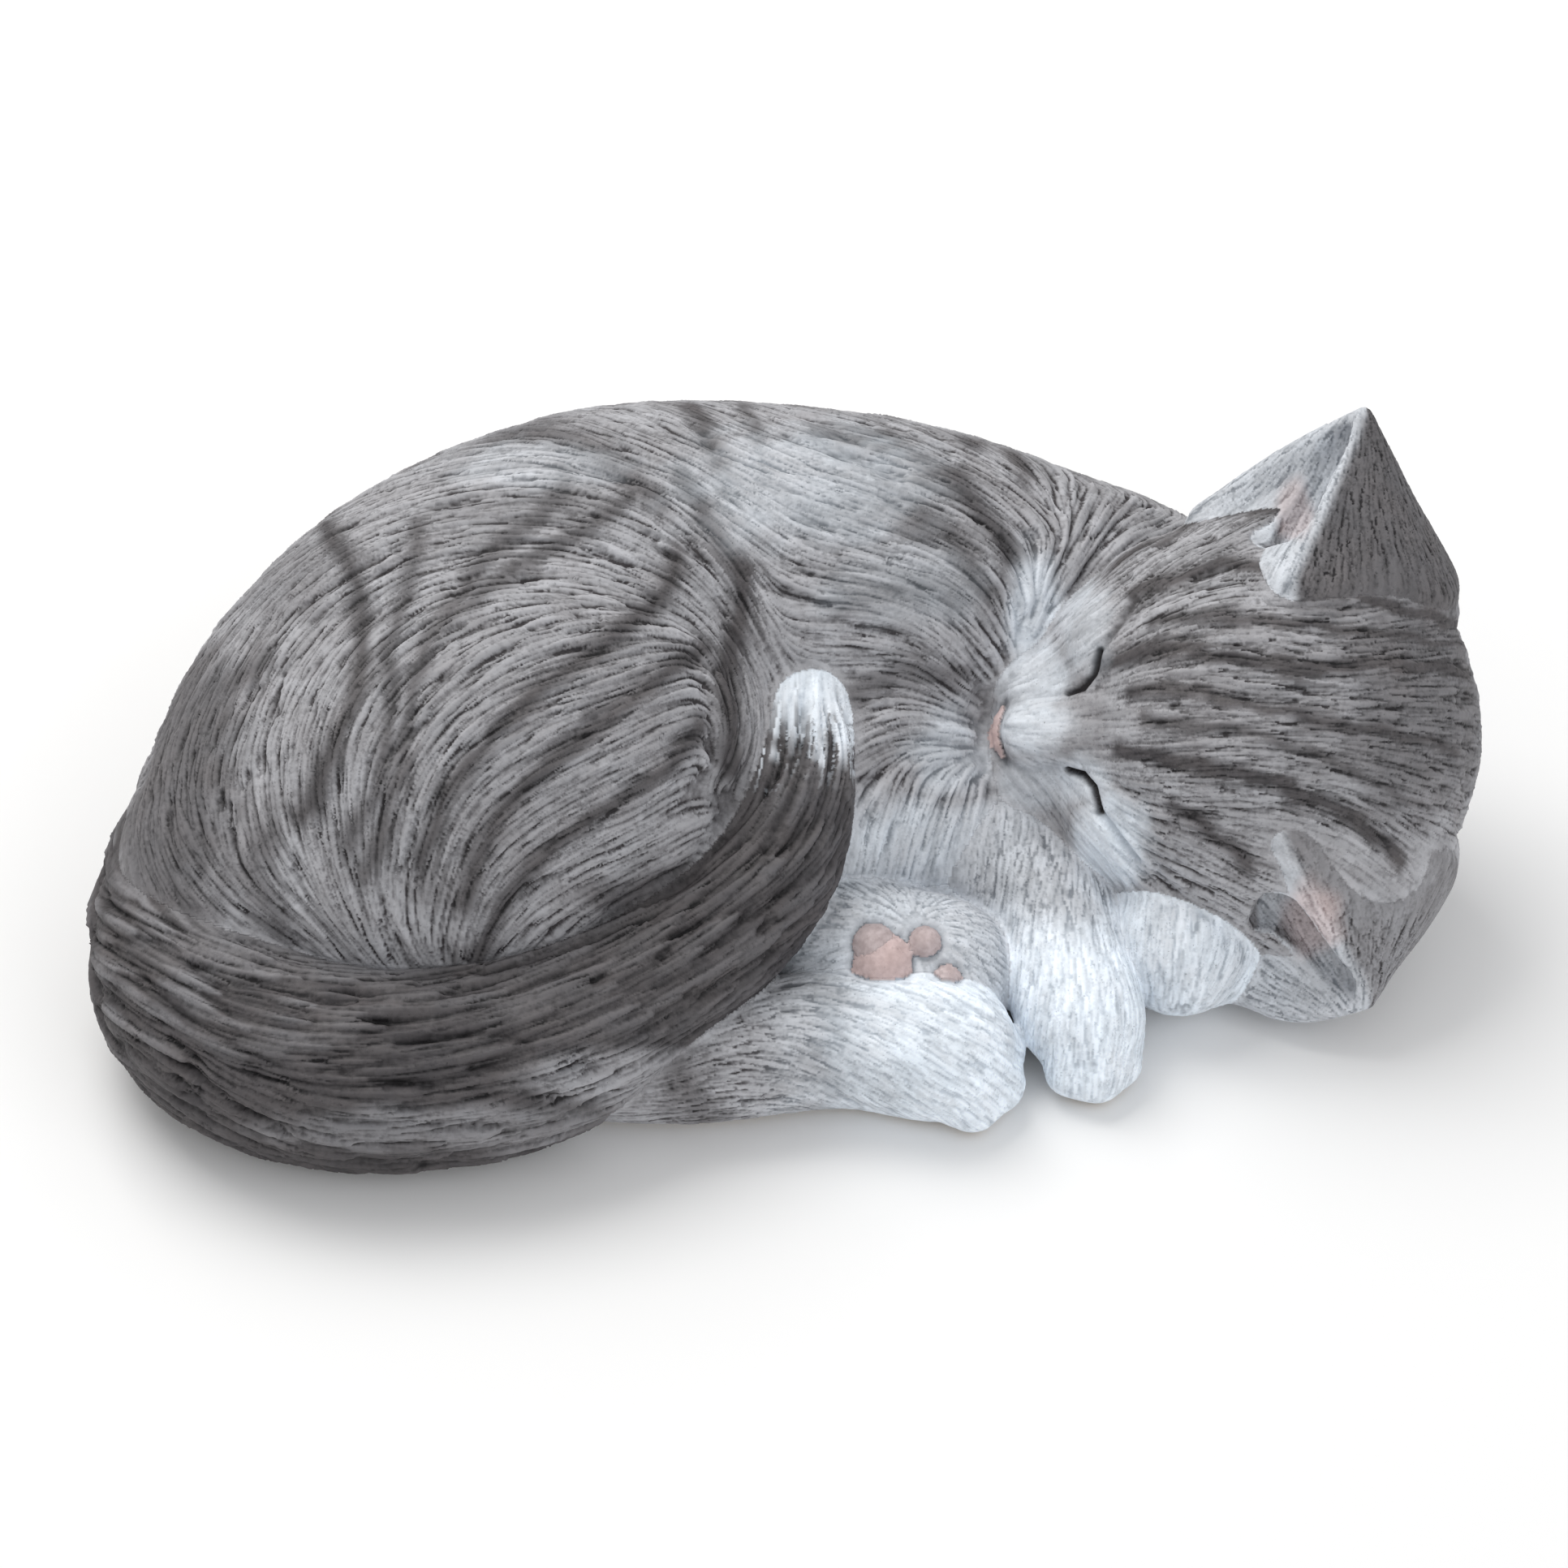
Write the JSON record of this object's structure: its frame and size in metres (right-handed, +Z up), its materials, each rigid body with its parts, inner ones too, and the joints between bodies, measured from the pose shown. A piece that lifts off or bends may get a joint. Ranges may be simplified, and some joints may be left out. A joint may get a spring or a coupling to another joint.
{
  "type": "cat figurine",
  "caption": "Curled sleeping cat figurine with a round head resting on its paws and the tail swept forward round the haunch, flat underside.",
  "frame": {"origin": "centre of the bounding box's underside, on the plane the felt pads stand on", "axes": "+X from the rump to the crown of the head (longest extent), +Y from the tail and paws to the curved back, +Z up"},
  "size_m": [0.2987, 0.1776, 0.107],
  "materials": {
    "body_coat": "matt dry-brushed paint over carved hair, light grey ridges over dark grooves with darker stripes",
    "head_coat": "matt dry-brushed paint, dark stripes over the forehead, bluish-white muzzle",
    "tail_coat": "matt dry-brushed paint, dark grey tufts with a white tip",
    "paw_coat": "matt bluish-white paint over carved hair",
    "skin_pink": "matt salmon-pink paint",
    "biscuit": "bare unglazed biscuit",
    "felt": "short dark felt"
  },
  "bodies": {
    "root": {"body_shell": "body_coat", "base_slab": "biscuit", "head_shell": "head_coat", "near_ear": "head_coat", "far_ear": "head_coat", "nose_leather": "skin_pink", "tail": "tail_coat", "near_hind_foot": "paw_coat", "far_hind_foot": "paw_coat", "sole_pad": "skin_pink", "toe_pad_inner": "skin_pink", "toe_pad_middle": "skin_pink", "toe_pad_outer": "skin_pink", "near_foreleg": "paw_coat", "far_foreleg": "paw_coat", "felt_pad_rump": "felt", "felt_pad_thigh": "felt", "felt_pad_flank": "felt", "felt_pad_chest": "felt"}
  },
  "joints": []
}
